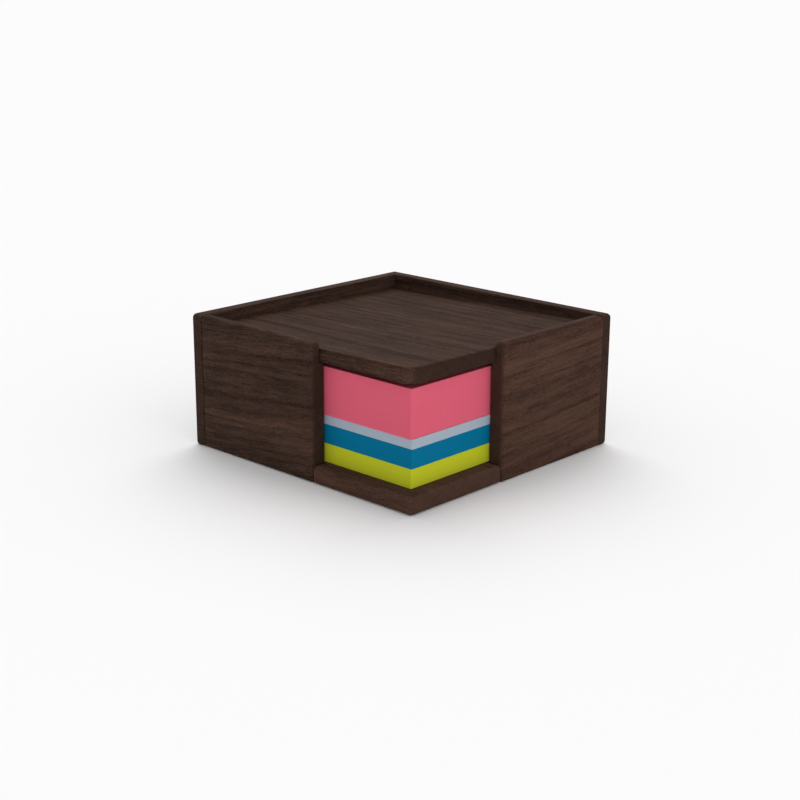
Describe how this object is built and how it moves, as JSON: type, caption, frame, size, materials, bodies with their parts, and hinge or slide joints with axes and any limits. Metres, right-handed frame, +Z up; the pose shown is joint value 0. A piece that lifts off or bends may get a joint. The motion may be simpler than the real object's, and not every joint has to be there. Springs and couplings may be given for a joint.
{
  "type": "memo pad holder with drawer",
  "caption": "Low square wooden desk tray over a slide-out drawer of coloured memo pads, with one corner cut away as a window so the pads show and can be reached.",
  "frame": {"origin": "centre of the footprint, on the surface the box stands on", "axes": "+Z up; -Y is the side of the drawer front and the way the drawer opens; +X is the side of the short right wall; the window is at +X and -Y"},
  "size_m": [0.0886, 0.0866, 0.0402],
  "materials": {
    "walnut": "dark walnut, thin satin oil finish",
    "lime_paper": "matte cut paper, lime",
    "blue_paper": "matte cut paper, dark blue",
    "grey_paper": "matte cut paper, light grey",
    "pink_paper": "matte cut paper, pink"
  },
  "bodies": {
    "case": {"left_wall": "walnut", "back_wall": "walnut", "right_wall": "walnut", "tray_board": "walnut", "left_runner": "walnut", "right_runner": "walnut"},
    "drawer": {"drawer_front": "walnut", "drawer_bottom": "walnut", "drawer_side": "walnut", "lime_pad": "lime_paper", "blue_pad": "blue_paper", "grey_pad": "grey_paper", "pink_pad": "pink_paper"}
  },
  "joints": [
    {"name": "drawer_slide", "type": "slide", "parent": "case", "child": "drawer", "axis": [0, -1, 0], "range_m": [0, 0.06]}
  ]
}
